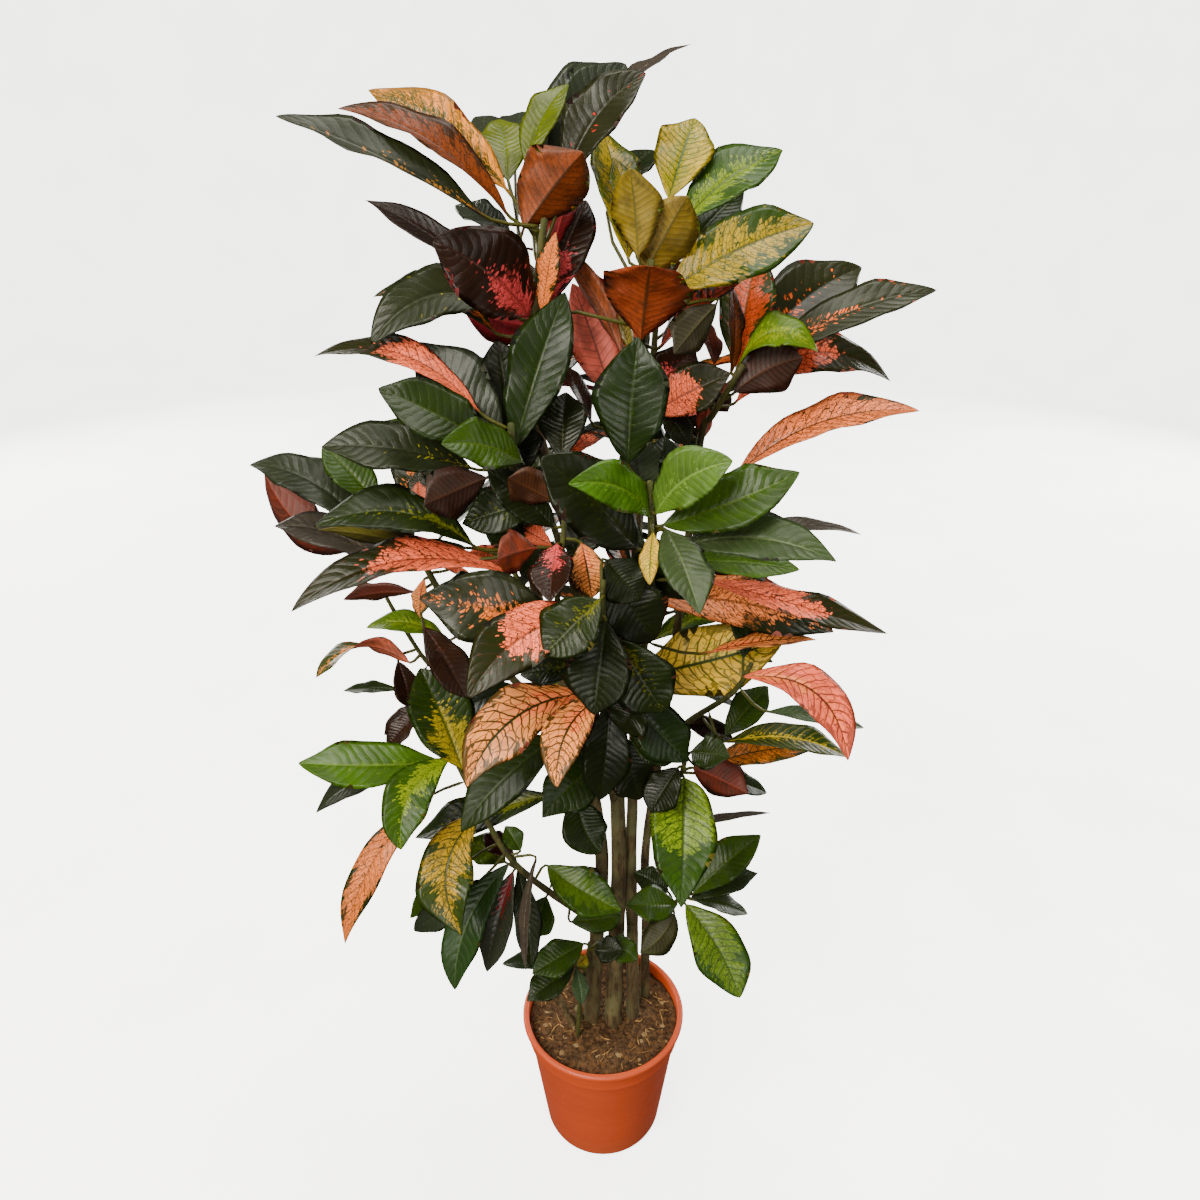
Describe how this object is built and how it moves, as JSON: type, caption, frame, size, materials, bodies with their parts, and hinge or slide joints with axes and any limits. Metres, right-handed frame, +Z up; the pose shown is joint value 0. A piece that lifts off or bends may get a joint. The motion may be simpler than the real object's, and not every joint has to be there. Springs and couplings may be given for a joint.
{
  "type": "potted croton",
  "caption": "Bushy croton plant with branching bare trunks and broad coloured leaves, standing in peat in a plain round tapering plastic nursery pot.",
  "frame": {"origin": "on the floor plane, at the middle of the flat underside of the pot", "axes": "+Z up along the pot's axis, -Y towards the viewer of the picture, +X to the viewer's right"},
  "size_m": [0.8159, 0.6221, 1.6642],
  "materials": {
    "pot": "satin moulded polypropylene, terracotta orange",
    "soil": "loose fibrous peat",
    "foliage": "smooth waxy leaves with coloured veins and patches",
    "bark": "rough grey-brown bark"
  },
  "bodies": {
    "root": {"pot": "pot", "soil": "soil", "stem_left": "foliage", "stem_middle": "foliage", "stem_right": "foliage", "stem_far_right": "foliage", "shoot_low": "foliage", "stub_left": "bark", "stub_front": "bark"}
  },
  "joints": []
}
